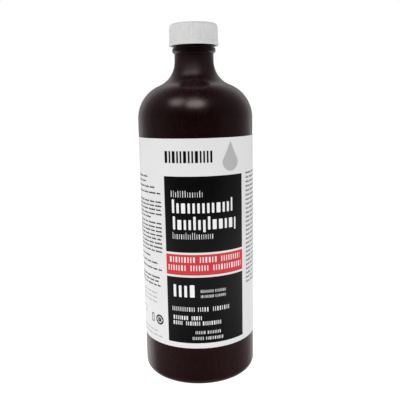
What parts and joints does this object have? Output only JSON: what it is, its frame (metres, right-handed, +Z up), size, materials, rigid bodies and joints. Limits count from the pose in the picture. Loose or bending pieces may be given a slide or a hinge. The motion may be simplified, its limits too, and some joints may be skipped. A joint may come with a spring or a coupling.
{
  "type": "solution bottle with screw cap",
  "caption": "Cylindrical plastic pharmacy bottle with a rounded shoulder, a short neck, a ribbed screw cap, a sealing wad, a foil seal and a wrap-around label.",
  "frame": {"origin": "middle of the base, on the plane that the standing ring rests on", "axes": "+Z up along the bottle's and the cap's axis; the label's front panel faces -Y; the label's ends meet at +Y"},
  "size_m": [0.0658, 0.0658, 0.2004],
  "materials": {
    "bottle": "satin",
    "label": "satin",
    "cap": "satin",
    "cap_liner": "matte",
    "inner_seal": "satin"
  },
  "bodies": {
    "bottle": {"bottle": "bottle", "label": "label", "inner_seal": "inner_seal"},
    "liner": {"cap_liner": "cap_liner"},
    "cap": {"cap": "cap"}
  },
  "joints": [
    {"name": "cap_lift", "type": "slide", "parent": "bottle", "child": "liner", "axis": [0, 0, 1], "range_m": [0, 0.0127]},
    {"name": "cap_turn", "type": "hinge", "parent": "liner", "child": "cap", "pos_m": [0, 0, 0.1887], "axis": [0, 0, 1], "range_deg": [0, 1440]}
  ],
  "couplings": [
    {"joint": "cap_lift", "follows": "cap_turn", "m_per_rad": 0.00050532}
  ]
}
